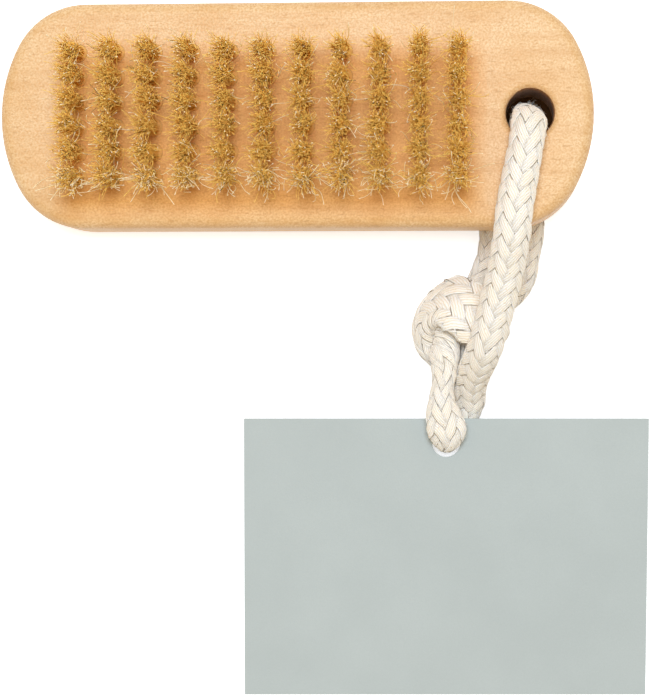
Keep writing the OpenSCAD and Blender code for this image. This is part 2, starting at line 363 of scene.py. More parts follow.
cord_line, cord_at = smooth_route(ROUTE, ROUTE_STEP)
print("cord length:", round(float(cord_at[-1]), 4), "rings:", len(cord_line))

# %% [markdown]
# ## Braided cotton
# The cord is a tubular braid: eight bands wind one way round and eight the other, and each passes
# over two and under two. Where a band is on top is fixed round the cord, so the bands that show
# make long rows, leaning left and right in turn: the herringbone. Each band is five fine yarns
# side by side. A texture can't give the small gaps at the points of the herringbone or the
# scalloped edge of the cord, so the bands are real, and only the yarns are left to the material.
# The braid is hollow inside, so it flattens where it is pulled tight: its section is an oval,
# pressed on the table, the wood or the knot's middle. The bands are spread evenly along the oval's
# rim.

# %% Oval rim
RIM_STEPS = 96


def units(vectors):
    """Each row scaled to length 1."""
    return vectors / np.maximum(np.linalg.norm(vectors, axis=-1, keepdims=True), 1e-12)


def carried_sides(heading):
    """A side direction, carried along the cord without twisting."""
    sides = [np.array([1.0, 0, 0])]
    for h in heading:
        side = sides[-1] - (sides[-1] @ h) * h
        sides.append(side / np.linalg.norm(side))
    return np.array(sides[1:])


def oval_angles(turns, wide, thick):
    """Angles on an oval for turns that are spread evenly along its rim, and the rim's length."""
    angle = np.linspace(0, 2 * np.pi, RIM_STEPS + 1)
    speed = np.hypot(wide * np.sin(angle), thick * np.cos(angle))
    rim = np.concatenate([[0], np.cumsum((speed[1:] + speed[:-1]) / 2)]) * angle[1]
    return np.interp(np.mod(turns, 2 * np.pi) / (2 * np.pi) * rim[-1], rim, angle), rim[-1]


print("rim of a round cord:", round(float(oval_angles(0, CORD_WIDTH / 2, CORD_WIDTH / 2)[1]), 5))

# %% Oval sections along the cord
KNOT_MIDDLE = np.array([28.5, -34.5, 4.5]) * MM
KNOT_REACH = 9 * MM
FRONT_STRAND = (0.0353, -0.0230, 0.0218)


class Oval:
    """The cord's oval section at every ring: its axes, its half widths and how it is turned."""

    def __init__(self, line):
        self.line = line[:, :3]
        self.wide, self.thick = (CORD_WIDTH / 2 * line[:, k] for k in (3, 4))
        self.heading = units(np.gradient(self.line, axis=0))
        off = self.line - KNOT_MIDDLE
        far = np.linalg.norm(off, axis=1, keepdims=True)
        near = np.exp(-((far / KNOT_REACH) ** 4))
        press = near * off / far + (1 - near) * np.array([0, 0, 1.0])
        ahead = (press * self.heading).sum(axis=1, keepdims=True)
        self.press = units(press - ahead * self.heading)
        self.side = np.cross(self.heading, self.press)
        carried = carried_sides(self.heading)
        up = np.cross(self.heading, carried)
        self.twist = np.arctan2((self.side * up).sum(axis=1), (self.side * carried).sum(axis=1))
        top = np.argmin(np.linalg.norm(self.line - np.array(FRONT_STRAND), axis=1))
        self.top_turn = self.twist[top] + np.pi / 2
        self.squeeze = np.array(
            [oval_angles(0, w, t)[1] for w, t in zip(self.wide, self.thick)]
        ) / (np.pi * CORD_WIDTH)

    def place(self, turns, inset):
        """Points at these turns round the cord, set in from its skin, and the way out there."""
        rings = zip(turns, self.twist, self.wide, self.thick)
        angles = np.array([oval_angles(t - s, w, h)[0] for t, s, w, h in rings])
        c, s = np.cos(angles)[..., None], np.sin(angles)[..., None]
        shape = (-1,) + (1,) * (angles.ndim - 1)
        wide, thick = ((v.reshape(shape) - inset)[..., None] for v in (self.wide, self.thick))
        side, press, line = (
            v.reshape((len(v),) + (1,) * (angles.ndim - 1) + (3,))
            for v in (self.side, self.press, self.line)
        )
        out = units(c / wide * side + s / thick * press)
        return line + wide * c * side + thick * s * press, out


oval = Oval(cord_line)
print("narrowest and widest share:", oval.squeeze.min().round(2), oval.squeeze.max().round(2))

# %% [markdown]
# ## Bands, core and fluff
# A band is a thin pillow, wide and flat, that sinks where it goes under and rises where it comes
# over. A plain core behind the bands closes the gaps between them, so the cord has an inside,
# painted in the darker tone of shaded cotton: a painted shade. Short loose fibres stand off the
# yarns and soften the outline.

# %% Sixteen bands
BANDS_EACH_WAY = 8
BRAID_PITCH = 24.4 * MM
BAND_WIDTH = 2.0 * MM
BAND_THICKNESS = 0.32 * MM
BAND_SECTION = np.array(
    [(-1, -0.5), (-0.72, 0.5), (0, 1), (0.72, 0.5), (1, -0.5), (0.6, -0.9), (-0.6, -0.9)]
)
CROSSING_STEEPNESS = 1.5
BAND_INSET, CROSSING_DEPTH = 0.95, 0.4
WIDER_ON_TOP = 0.05
THINNEST_SHARE = 0.7


def band_rings(way, phase):
    """Rings of one band along the whole cord."""
    turn = way * 2 * np.pi * cord_at / BRAID_PITCH + phase
    crossing = np.sin(BANDS_EACH_WAY / 2 * (turn - oval.top_turn))
    wave = np.clip(CROSSING_STEEPNESS * way * crossing, -1, 1)
    height = BAND_THICKNESS * np.clip(oval.squeeze, THINNEST_SHARE, 1)
    middle, out = oval.place(turn, height * (BAND_INSET - CROSSING_DEPTH * wave))
    along = units(np.gradient(middle, axis=0))
    across = units(np.cross(out, along))
    lift = units(np.cross(along, across))
    spread = BAND_WIDTH / 2 * oval.squeeze * (1 + WIDER_ON_TOP * wave)
    rings = (
        middle[:, None, :]
        + (spread[:, None] * BAND_SECTION[:, 0])[..., None] * across[:, None, :]
        + (height[:, None] / 2 * BAND_SECTION[:, 1])[..., None] * lift[:, None, :]
    )
    return rings[:, ::-1, :]


print("one band, rings and sides:", band_rings(1, 0).shape[:2])

# %% Core and fluff
CORE_SIDES = 16
CORE_INSET = 1.25
FLUFF = 1500
FLUFF_RINGS, FLUFF_SIDES = 4, 3
FLUFF_ROOT, FLUFF_R = 0.12 * MM, 0.03 * MM
FLUFF_SHORTEST, FLUFF_MORE = 0.5, 0.9
FLUFF_OUT, FLUFF_OUT_MORE = 0.4, 0.5
FLUFF_CURL, FLUFF_TAPER = 0.3, 0.5
BARE_END_RINGS = 4
LOWEST_FLUFF = 0.05 * MM


def core_rings():
    """Rings of the plain core that closes the cord behind the gaps between its bands."""
    turns = np.tile(2 * np.pi * np.arange(CORE_SIDES) / CORE_SIDES, (len(cord_line), 1))
    inset = CORE_INSET * BAND_THICKNESS * np.clip(oval.squeeze, THINNEST_SHARE, 1)
    return oval.place(turns + oval.twist[:, None], inset[:, None])[0][:, ::-1, :]


def fluff_rings(chance):
    """Short loose fibres that stand off the yarns: four rings of three points each."""
    at = chance.integers(BARE_END_RINGS, len(cord_line) - BARE_END_RINGS, FLUFF)
    turns = 2 * np.pi * chance.random(FLUFF)
    grid = np.tile(turns, (len(cord_line), 1))
    skin, out = oval.place(grid, FLUFF_ROOT)
    skin, out = skin[at, np.arange(FLUFF)], out[at, np.arange(FLUFF)]
    heading = oval.heading[at]
    across = np.cross(out, heading)
    way = units(
        chance.normal(0, 1, (FLUFF, 1)) * heading
        + chance.normal(0, 1, (FLUFF, 1)) * across
        + (FLUFF_OUT + FLUFF_OUT_MORE * chance.random((FLUFF, 1))) * out
    )
    length = (FLUFF_SHORTEST + FLUFF_MORE * chance.random((FLUFF, 1, 1))) * MM
    t = np.linspace(0, 1, FLUFF_RINGS)[None, :, None]
    line = skin[:, None, :] + length * (t * way[:, None, :] - FLUFF_CURL * t**2 * out[:, None, :])
    bend = np.cross(way, out)
    sideways = length * FLUFF_CURL * t**2 * chance.normal(0, 1, (FLUFF, 1, 1))
    line = line + sideways * bend[:, None, :]
    line[..., 2] = np.maximum(line[..., 2], LOWEST_FLUFF)
    radius = FLUFF_R * (1 - FLUFF_TAPER * t[..., None])
    turn = 2 * np.pi * np.arange(FLUFF_SIDES) / FLUFF_SIDES
    round_way = np.cross(way, bend)
    ring = np.cos(turn)[:, None] * bend[:, None, :] + np.sin(turn)[:, None] * round_way[:, None, :]
    return line[:, :, None, :] + radius * ring[:, None, :, :]


print("core, rings and sides:", core_rings().shape[:2], "loose fibres:", FLUFF)

# %% [markdown]
# ## One mesh for the whole cord
# All the tubes go into one mesh. Each point carries two numbers for the material: the tone of its
# band, from pale to warm, with -1 for the core, and its place across the band, where the yarns are.

# %% Whole braid
CORE_TONE, FLUFF_TONE = -1, 1


def braided_cord(name, material):
    """The whole braid as one mesh, with what its material needs to know of each point."""
    chance = np.random.default_rng(7)
    points, faces, tones, acrosses = [], [], [], []
    count = 0

    def add_tube(rings, tone, across):
        nonlocal count, faces
        rows, sides = rings.shape[:2]
        points.append(rings.reshape(-1, 3))
        faces += tube_faces(rows, sides, count)
        tones.append(np.full(rows * sides, tone))
        acrosses.append(np.broadcast_to(across, (rows, sides)).reshape(-1))
        count += rows * sides

    for way in (1, -1):
        for k in range(BANDS_EACH_WAY):
            phase = 2 * np.pi * (k + (0 if way > 0 else 0.5)) / BANDS_EACH_WAY
            add_tube(band_rings(way, phase), chance.random(), BAND_SECTION[::-1, 0])
    add_tube(core_rings(), CORE_TONE, 0)
    for rings in fluff_rings(chance):
        add_tube(rings, FLUFF_TONE, 0)
    piece = make_piece(name, np.concatenate(points), faces, material)
    add_values(piece, "tone", np.concatenate(tones))
    add_values(piece, "across", np.concatenate(acrosses))
    return piece


# %% Cotton
YARNS, YARN_WANDER = 5, 0.07
COTTON_PALE, COTTON_WARM = "#FFFBF4", "#FEF7EC"
COTTON_BLOTCH, VALLEY_PAINTED_SHADE = "#FCF3E5", "#E3CFAB"
COTTON_HUSK, CORE_PAINTED_SHADE = "#C9A878", "#BE9A60"
# Each pattern's size in millimetres, its detail and its roughness. The hairs of real yarn are
# about 0.02 mm wide, and are drawn 0.16 mm wide so that they show.
COTTON_PATTERNS = ((0.7, 2, 0.5), (3.5, 2, 0.5), (0.5, 1, 0.5), (0.16, 3, 0.7))


def cotton_material():
    """Undyed cotton, spun and braided: cream, dull and slightly fuzzy, with fine yarns and flecks
    of seed husk, and painted shade between the yarns and on the core. The fuzz gives the eye a soft
    edge and no highlight."""
    material = blank_material("undyed braided cotton")
    place = add_node(material, "ShaderNodeTexCoord").outputs["Object"]
    tone, across = (
        add_node(material, "ShaderNodeAttribute", {"attribute_name": name}).outputs["Fac"]
        for name in ("tone", "across")
    )
    noises = []
    for size, detail, rough in COTTON_PATTERNS:
        drawn = {"Vector": place, "Scale": 1 / (size * MM), "Detail": detail, "Roughness": rough}
        noises.append(add_node(material, "ShaderNodeTexNoise", inputs=drawn).outputs["Fac"])
    wander, blotch, husk, hair = noises
    sideways = {"To Min": -YARN_WANDER, "To Max": YARN_WANDER}
    wander = add_node(
        material,
        "ShaderNodeMapRange",
        inputs={"Value": wander, "From Min": 0.3, "From Max": 0.7, **sideways},
    ).outputs[0]
    yarn_place = add_node(
        material, "ShaderNodeMath", {"operation": "ADD"}, {0: across, 1: wander}
    ).outputs[0]
    turns = add_node(
        material, "ShaderNodeMath", {"operation": "MULTIPLY"}, {0: yarn_place, 1: math.pi * YARNS}
    ).outputs[0]
    yarns = add_node(material, "ShaderNodeMath", {"operation": "COSINE"}, {0: turns}).outputs[0]
    ridge = add_node(
        material, "ShaderNodeMapRange", inputs={"Value": yarns, "From Min": -1, "From Max": 1}
    ).outputs[0]
    colour = lay_colours(
        material,
        COTTON_PALE,
        [
            (tone, 0, 1, 0, 1, COTTON_WARM),
            (blotch, 0.4, 0.7, 0, 1, COTTON_BLOTCH),
            # Painted shade: darker in the valleys between the yarns.
            (ridge, 0, 0.55, 0.6, 0, VALLEY_PAINTED_SHADE),
            (husk, 0.71, 0.78, 0, 0.7, COTTON_HUSK),
            # Painted shade: the core, seen through the gaps between the bands, is darker.
            (tone, -0.5, -0.4, 1, 0, CORE_PAINTED_SHADE),
        ],
    )
    height = add_node(
        material, "ShaderNodeMath", {"operation": "MULTIPLY_ADD"}, {0: hair, 1: 0.4, 2: ridge}
    ).outputs[0]
    relief = {"Height": height, "Distance": 0.07 * MM, "Strength": 0.8}
    cotton = {
        "Base Color": colour,
        "Normal": add_node(material, "ShaderNodeBump", inputs=relief).outputs[0],
        "Roughness": 0.95,
        "Specular IOR Level": 0.2,
        "Sheen Weight": 0.8,
        "Sheen Roughness": 0.5,
        "Sheen Tint": linear("#FFF4E4"),
        "Subsurface Weight": 0.3,
        "Subsurface Radius": (1.0, 0.85, 0.7),
        "Subsurface Scale": 0.25 * MM,
    }
    surface = add_node(material, "ShaderNodeBsdfPrincipled", inputs=cotton).outputs[0]
    add_node(material, "ShaderNodeOutputMaterial", inputs={"Surface": surface})
    return material


undyed_cotton = cotton_material()
print("nodes in the cotton's material:", len(undyed_cotton.node_tree.nodes))

# %% The cord
CORD_NODES = [
    "cord_tail", "cord_knot", "cord_tag_loop", "cord_front", "cord_through_hole", "cord_back"
]
cord = braided_cord("braided_cord", undyed_cotton)
print("cord triangles:", triangles(cord))
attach(cord, BRUSH)
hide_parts(*CORD_NODES)

# %% [markdown]
# ## The wooden block
# The construction model already has the block's exact shape: its arcs, its rounded edges, the tuft
# holes and the hanging hole. Its mesh comes as loose triangles, so a copy is merged and shaded
# smooth, with the rims of the holes left sharp. The wood is a pale, fine-pored hardwood, sanded
# and oiled: short darker pores along the grain, a faint mottle, and a dull shine. Light that has
# passed through the bristles is golden, and falls on the wood between and just in front of the
# tufts. A render with few bounces loses that, so the wood there is painted darker and more golden:
# painted shade and painted light, laid by the place on the block. The wall of the hanging hole is
# the same wood, painted darker as a painted shade inside the hole.

# %% Painted shade and golden light among the tufts
# The cord under the block lifts the end with the hanging hole, so the block and its grain lean.
CORD_RISE_MM, RISE_SPAN_MM = 6.1, 85.3
LEAN = math.asin(CORD_RISE_MM / RISE_SPAN_MM)
PAINTED_GOLDEN_SHADE = "#FFE19E"
FIELD_MIDDLE = (-3.7 * MM, -3 * MM, 18.4 * MM)
# How far off the field's middle the painted shade and golden light start to fade and end, in
# millimetres, on each axis.
FIELD_EDGES_MM = ((33, 37), (11.5, 16), (0.5, 3))


def painted_shade_among_tufts(material, level_place):
    """Where the painted shade and golden light go: 1 on the block's face between the tufts and just
    in front of them, 0 elsewhere.
    """
    off = add_node(
        material,
        "ShaderNodeVectorMath",
        {"operation": "SUBTRACT"},
        {0: level_place, 1: FIELD_MIDDLE},
    ).outputs[0]
    size = add_node(
        material, "ShaderNodeVectorMath", {"operation": "ABSOLUTE"}, {0: off}
    ).outputs[0]
    parts = add_node(material, "ShaderNodeSeparateXYZ", inputs={0: size}).outputs
    share = 1.0
    for part, (low, high) in zip(parts, FIELD_EDGES_MM):
        fade = {"From Min": low * MM, "From Max": high * MM, "To Min": 1, "To Max": 0}
        within = add_node(material, "ShaderNodeMapRange", inputs={"Value": part, **fade})
        share = add_node(
            material,
            "ShaderNodeMath",
            {"operation": "MULTIPLY"},
            {0: share, 1: within.outputs[0]},
        ).outputs[0]
    return share


print("the block leans:", round(math.degrees(LEAN), 2), "degrees")

# %% Wood
WOOD_PORE = "#B98650"
# The mottle, the grain, the speckle and the pores. Each has its stretch along the grain, its size
# in millimetres, its detail, and the two levels of the noise that it runs between. Real pores are
# about 0.1 mm wide, and are drawn 0.3 mm wide so that they show.
WOOD_PATTERNS = (
    (1, 9, 2, 0.35, 0.68),
    (0.07, 1.5, 3, 0.45, 0.75),
    (1, 0.34, 2, 0.36, 0.66),
    (0.22, 0.3, 1, 0.62, 0.74),
)


def wood_material(name, light, middle, deep):
    """Pale hardwood, sanded and oiled, its grain along the block, which leans a little. The oil
    gives the eye a dull, broad shine."""
    material = blank_material(name)
    place = add_node(material, "ShaderNodeTexCoord").outputs["Object"]
    level_place = add_node(
        material, "ShaderNodeMapping", inputs={"Vector": place, "Rotation": (0, LEAN, 0)}
    ).outputs[0]
    patterns = []
    for stretch, size, detail, low, high in WOOD_PATTERNS:
        drawn = {"Vector": level_place, "Scale": (stretch, 1, 1)}
        at = add_node(material, "ShaderNodeMapping", inputs=drawn).outputs[0]
        spread = {"Vector": at, "Scale": 1 / (size * MM), "Detail": detail}
        noise = add_node(material, "ShaderNodeTexNoise", inputs=spread).outputs["Fac"]
        within = {"Value": noise, "From Min": low, "From Max": high}
        patterns.append(add_node(material, "ShaderNodeMapRange", inputs=within).outputs[0])
    mottle, grain, speckle, pores = patterns
    colour = lay_colours(
        material,
        light,
        [
            (mottle, 0, 1, 0, 1, middle),
            (grain, 0, 1, 0, 0.45, deep),
            (speckle, 0, 1, 0, 0.7, deep),
            (pores, 0, 1, 0, 0.4, WOOD_PORE),
        ],
    )
    # Painted shade and painted golden light: the wood between and in front of the tufts is darker
    # and more golden.
    painted_shade_share = painted_shade_among_tufts(material, level_place)
    painted_shade_colour = add_node(
        material,
        "ShaderNodeMix",
        {"data_type": "RGBA", "blend_type": "MULTIPLY"},
        {MIX_SHARE: painted_shade_share, MIX_UNDER: colour, MIX_OVER: linear(PAINTED_GOLDEN_SHADE)},
    ).outputs[MIX_RESULT]
    height = add_node(
        material, "ShaderNodeMath", {"operation": "SUBTRACT"}, {0: speckle, 1: pores}
    ).outputs[0]
    relief = {"Height": height, "Distance": 0.04 * MM, "Strength": 0.6}
    oiled = {
        "Base Color": painted_shade_colour,
        "Normal": add_node(material, "ShaderNodeBump", inputs=relief).outputs[0],
        "Roughness": 0.5,
        "Specular IOR Level": 0.35,
    }
    surface = add_node(material, "ShaderNodeBsdfPrincipled", inputs=oiled).outputs[0]
    add_node(material, "ShaderNodeOutputMaterial", inputs={"Surface": surface})
    return material


wood = wood_material("pale oiled hardwood", "#EDCC9E", "#E6BE8A", "#CF9C60")
# Painted shade: the wall of the hanging hole is painted darker, as the shade inside the hole.
painted_hole_wall = wood_material("wood with painted shade in the hole", "#B58154", "#97653C", "#5E3C20")
print("wood finishes:", wood.name, "and", painted_hole_wall.name)

# %% Block
HANG_HOLE_X, HANG_HOLE_R = 39.3 * MM, 4 * MM
WALL_MARGIN, WALL_STEEPNESS = 1.1, 0.5
SHARP_FROM = math.radians(35)
MERGE_DISTANCE = 0.002 * MM


def merged_copy(node, name):
    """A copy of a CAD node with its loose triangles joined into one surface."""
    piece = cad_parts[node].copy()
    piece.data = piece.data.copy()
    for key in list(piece.keys()):
        if key.startswith("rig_"):
            del piece[key]
    piece.name = name
    piece.data.name = name
    piece.parent = None
    bpy.context.scene.collection.objects.link(piece)
    bpy.ops.object.select_all(action="DESELECT")
    piece.select_set(True)
    bpy.context.view_layer.objects.active = piece
    bpy.ops.object.mode_set(mode="EDIT")
    bpy.ops.mesh.select_all(action="SELECT")
    bpy.ops.mesh.remove_doubles(threshold=MERGE_DISTANCE)
    bpy.ops.mesh.customdata_custom_splitnormals_clear()
    bpy.ops.object.mode_set(mode="OBJECT")
    bpy.ops.object.shade_smooth_by_angle(angle=SHARP_FROM)
    return piece


block = merged_copy("block", "wooden_block")
block.data.materials.clear()
block.data.materials.append(wood)
block.data.materials.append(painted_hole_wall)
inside = 0
# The faces of the hanging hole's wall get the painted shade.
for face in block.data.polygons:
    off_centre = math.hypot(face.center.x - HANG_HOLE_X, face.center.y)
    if off_centre < HANG_HOLE_R * WALL_MARGIN and abs(face.normal.z) < WALL_STEEPNESS:
        face.material_index = 1
        inside += 1
print("block triangles:", triangles(block), "faces inside the hanging hole:", inside)
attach(block, BRUSH)
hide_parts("block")

# %% [markdown]
# ## Bristles
# Each tuft is a bundle of plant fibre folded round a wire and packed into its hole. Above the wood
# the fibres lean outwards, a little more along their column than across it, and their cut ends
# fray and bend over, so from above a tuft is a golden star that just touches the next one in its
# column. Some shorter fibres lean further out and make a skirt round it. Most fibres are golden, a
# few in each tuft are nearly black, some are almost white, and a few long strays cross to the next
# column. The nearest row is the palest and splays over the bare wood: most of its splayed fibres
# are painted pale, painted light where they lean out. The tips are paler, partly the paler cut
# ends and partly painted light where they catch it. Every fibre is a thin three-sided tube with a
# lean and a curl of its own. The imported middle of a tuft, where no fibre can be told from the
# next, is one rough, oval body. Its foot fills the hole's mouth and is painted in the wood's
# colour, a painted shade that stands for the shaded rim of the hole, which is what shows there.

# %% Places of the tufts
COLUMNS, ROWS = 11, 6
FIRST_COLUMN, LAST_COLUMN = -36.5 * MM, 27.5 * MM
ROW_PITCH = 4.2 * MM
FOOT_DEPTH = 1.5 * MM
BLOCK_LENGTH, BLOCK_THICKNESS, EDGE_R = 100 * MM, 15 * MM, 2 * MM


def on_block(points):
    """Points in the block's own frame, its back at z = 0, as they lie on the table."""
    centring = BLOCK_THICKNESS * math.sin(LEAN) / 2
    pivot = np.array([-BLOCK_LENGTH / 2 + EDGE_R, 0, EDGE_R])
    c, s = math.cos(LEAN), math.sin(LEAN)
    turn = np.array([[c, 0, -s], [0, 1, 0], [s, 0, c]])
    return (points - pivot) @ turn.T + pivot + np.array([centring, 0, 0])


def tuft_height(t, height):
    """How high a share t of a fibre is, from its foot in the hole."""
    return BLOCK_THICKNESS - FOOT_DEPTH + (height + FOOT_DEPTH) * t


print("columns:", COLUMNS, "rows:", ROWS, "pitch:", round(ROW_PITCH, 5))

# %% Kinds of fibre
FIBRES = 220
TUFT_R = np.array([1.05, 1.25]) * MM
INNERMOST = 0.1
TUFT_LEAN, TUFT_SPREAD = -0.5 * MM, 0.2
OUT_LEAN, LEAN_SPREAD = np.array([0.25, 0.45]), 0.3
OUT_BEND, BEND_SPREAD = np.array([0.15, 0.2]), (0.8, 0.7)
SKIRT_SHARE, SKIRT_LEAN = 0.14, 0.6
PALE_SHARE, STRAY_SHARE, SPLAY_SHARE = 0.04, 0.05, 0.25
PALE_STRAYS, PAINTED_LIT_SPLAYS = 0.6, 0.75
STRAY_LEAN = 1.5
SPLAY_LEAN, SPLAY_SPREAD, SPLAY_SIDEWAYS = 0.5, 0.55, 1.4
FEWEST_DARK, MOST_DARK, DARK_SPREAD = 1, 5, 0.6
DARK_TONE = 1.5


def fibre_kinds(chance, row, side_lean):
    """Where each fibre of a tuft stands, how it leans and bends, and what kind it is."""
    n = FIBRES
    r = INNERMOST + (1 - INNERMOST) * np.sqrt(chance.random(n))
    a = 2 * np.pi * chance.random(n)
    off = np.stack([r * np.cos(a), r * np.sin(a)], axis=1)
    root = TUFT_R * off
    lean = (OUT_LEAN * off + chance.normal(0, LEAN_SPREAD, (n, 2))) * MM
    skirt = chance.random(n) < SKIRT_SHARE
    lean[skirt] += SKIRT_LEAN * root[skirt]
    lean += chance.normal(0, TUFT_SPREAD, 2) * MM + np.array([side_lean, TUFT_LEAN])
    bend = (OUT_BEND * off + chance.normal(0, BEND_SPREAD, (n, 2))) * MM
    tone = chance.random(n)
    pale = chance.random(n) < PALE_SHARE
    stray = chance.random(n) < STRAY_SHARE
    lean[stray] += chance.normal(0, STRAY_LEAN, (stray.sum(), 2)) * MM
    if row == 0:
        splay = chance.random(n) < SPLAY_SHARE
        lean[splay, 1] -= np.abs(chance.normal(SPLAY_LEAN, SPLAY_SPREAD, splay.sum())) * MM
        lean[splay, 0] += chance.normal(0, SPLAY_SIDEWAYS, splay.sum()) * MM
        # Painted light: most splayed fibres of the nearest row are pale, as lit where they lean
        # out.
        pale |= splay & (chance.random(n) < PAINTED_LIT_SPLAYS)
        stray |= splay
    pale |= stray & (chance.random(n) < PALE_STRAYS)
    off_dark = np.hypot(*(root - chance.normal(0, DARK_SPREAD, 2) * MM).T)
    dark = np.argsort(off_dark)[: chance.integers(FEWEST_DARK, MOST_DARK + 1)]
    tone[dark] = DARK_TONE
    pale[dark] = False
    return root, lean, bend, skirt, stray, tone, pale


print("fibres on the whole brush:", COLUMNS * ROWS * FIBRES)

# %% Fibres of one tuft
# Where a fibre's rings are, as shares of its length from the foot.
STATIONS = np.array([0, 0.3, 0.55, 0.68, 0.78, 0.86, 0.93, 1])
FIBRE_HEIGHT = 12 * MM
UNEVEN_CUT, LOWER_BY_LEAN = 0.05, 0.45
SKIRT_LOWEST, SKIRT_MORE = 0.62, 0.3
LEAN_CURVE, FRAYS_FROM, FRAY_CURVE = 1.9, 0.6, 1.7
LEAST_SWING, MORE_SWING, STRAY_SWING = 0.08, 0.2, 0.5
FEWEST_TURNS, MORE_TURNS, SWING_CURVE = 0.7, 1.1, 1.6
THINNEST_FIBRE, THICKER_BY, STRAY_THICKER_BY = 0.042, 0.028, 0.02
TIP_THINNER_BY = 0.2
CUT_END_R = 0.1 * MM
FIBRE_SIDES = 3


def fibres(chance, centre, row, side_lean):
    """Rings of one tuft's fibres in the block's frame, and each fibre's tone and paleness."""
    n, t = FIBRES, STATIONS
    root, lean, bend, skirt, stray, tone, pale = fibre_kinds(chance, row, side_lean)
    height = FIBRE_HEIGHT * (1 + chance.normal(0, UNEVEN_CUT, n))
    height = height - LOWER_BY_LEAN * np.hypot(*(lean + bend).T)
    height[skirt] *= SKIRT_LOWEST + SKIRT_MORE * chance.random(skirt.sum())
    swing = LEAST_SWING + MORE_SWING * chance.random((n, 2, 1)) + STRAY_SWING * stray[:, None, None]
    swing = swing * MM
    turns = FEWEST_TURNS + MORE_TURNS * chance.random((n, 2, 1))
    start = 2 * np.pi * chance.random((n, 2, 1))
    wave = swing * t**SWING_CURVE * (np.sin(2 * np.pi * turns * t + start) - np.sin(start))
    frayed = np.clip((t - FRAYS_FROM) / (1 - FRAYS_FROM), 0, 1) ** FRAY_CURVE
    xy = (
        np.array(centre)[:, None]
        + root[..., None]
        + lean[..., None] * t**LEAN_CURVE
        + bend[..., None] * frayed
        + wave
    )
    z = tuft_height(t, height[:, None])
    line = np.stack([xy[:, 0], xy[:, 1], z], axis=-1)
    thick = THINNEST_FIBRE + THICKER_BY * chance.random((n, 1)) + STRAY_THICKER_BY * stray[:, None]
    thick = thick * MM * (1 - TIP_THINNER_BY * t**3)
    cut_end = (pale & ~stray)[:, None] & (t == t[-1])
    thick = np.where(cut_end, CUT_END_R, thick)
    turn = 2 * np.pi * (chance.random((n, 1, 1)) + np.arange(FIBRE_SIDES) / FIBRE_SIDES)
    ring = np.stack([np.cos(turn), np.sin(turn), 0 * turn], axis=-1)
    return line[:, :, None, :] + thick[:, :, None, None] * ring, tone, pale


sample = fibres(np.random.default_rng(0), (0, 0), 1, 0)[0]
print("fibres, rings and sides in one tuft:", sample.shape[:3])

# %% Packed middle of one tuft
MIDDLE_SIDES = 18
MIDDLE_STATIONS = np.array([0, 0.11, 0.15, 0.4, 0.58, 0.68, 0.74, 0.76])
MIDDLE_R = np.array([1.48, 1.48, 1, 0.9, 0.9, 0.85, 0.6, 0.15]) * MM
DRAWN_OUT = np.array([1, 1, 1.15, 1.2, 1.3, 1.35, 1.3, 1.25])[:, None]
ROUGH_FROM, ROUGHNESS, JAGGEDNESS = 0.3, 0.13, 0.35 * MM


def packed_middle(chance, centre, side_lean):
    """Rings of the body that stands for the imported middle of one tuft."""
    t = MIDDLE_STATIONS[:, None]
    turn = 2 * np.pi * np.arange(MIDDLE_SIDES) / MIDDLE_SIDES
    uneven = t > ROUGH_FROM
    rough = 1 + ROUGHNESS * chance.normal(0, 1, (len(t), MIDDLE_SIDES)) * uneven
    radius = MIDDLE_R[:, None] * rough
    x = centre[0] + side_lean * t**LEAN_CURVE + radius * np.cos(turn)
    y = centre[1] + TUFT_LEAN * t**LEAN_CURVE + DRAWN_OUT * radius * np.sin(turn)
    jagged = JAGGEDNESS * chance.normal(0, 1, x.shape) * uneven
    z = tuft_height(t, FIBRE_HEIGHT) + jagged
    return np.stack([x, y, z], axis=-1)


sample = packed_middle(np.random.default_rng(0), (0, 0), 0)
print("rings and sides of a packed middle:", sample.shape[:2])

# %% One column of tufts
SIDE_LEAN = -0.45 * MM
MIDDLE_TONE = -1
FIRST_SEED = 100


def bristle_column(i, material):
    """The six tufts of one column as one mesh. The rings of a packed middle carry the stations of
    a fibre's rings, which its material reads."""
    chance = np.random.default_rng(FIRST_SEED + i)
    share = i / (COLUMNS - 1)
    x = FIRST_COLUMN + (LAST_COLUMN - FIRST_COLUMN) * i / (COLUMNS - 1)
    side_lean = SIDE_LEAN * (1 - share)
    points, faces, values = [], [], {"tone": [], "pale": [], "along": []}
    count = 0
    for row in range(ROWS):
        centre = (x, ROW_PITCH * (row - (ROWS - 1) / 2))
        tubes = list(zip(*fibres(chance, centre, row, side_lean)))
        tubes.append((packed_middle(chance, centre, side_lean), MIDDLE_TONE, 0))
        for tube, tone, pale in tubes:
            rows, sides = tube.shape[:2]
            points.append(on_block(tube.reshape(-1, 3)))
            faces += tube_faces(rows, sides, count)
            values["tone"].append(np.full(rows * sides, tone))
            values["pale"].append(np.full(rows * sides, float(pale)))
            values["along"].append(np.repeat(STATIONS[:rows], sides))
            count += rows * sides
    piece = make_piece(f"bristles_{i + 1}", np.concatenate(points), faces, material)
    for key, value in values.items():
        add_values(piece, key, np.concatenate(value))
    return piece


# %% Plant fibre
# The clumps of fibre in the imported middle, in millimetres. Real fibres are 0.1 mm wide, and are
# drawn 0.22 mm wide here so that they show.
CLUMP_MM = 0.22
STRAND_STRETCH = (1, 1, 0.2)
SHADED_FIBRE, PACKED_FIBRE, FOOT_PAINTED_AS_SHADED_RIM = "#E8A838", "#FFCC60", "#FFCF84"
OCHRE, GOLD, LIGHT_GOLD, CUT_AND_LIT_TIP = "#FFB53C", "#FFCA50", "#FFD768", "#FFE08A"
DARK_FIBRE, WHITE_FIBRE = "#5A3D20", "#FFF0CC"


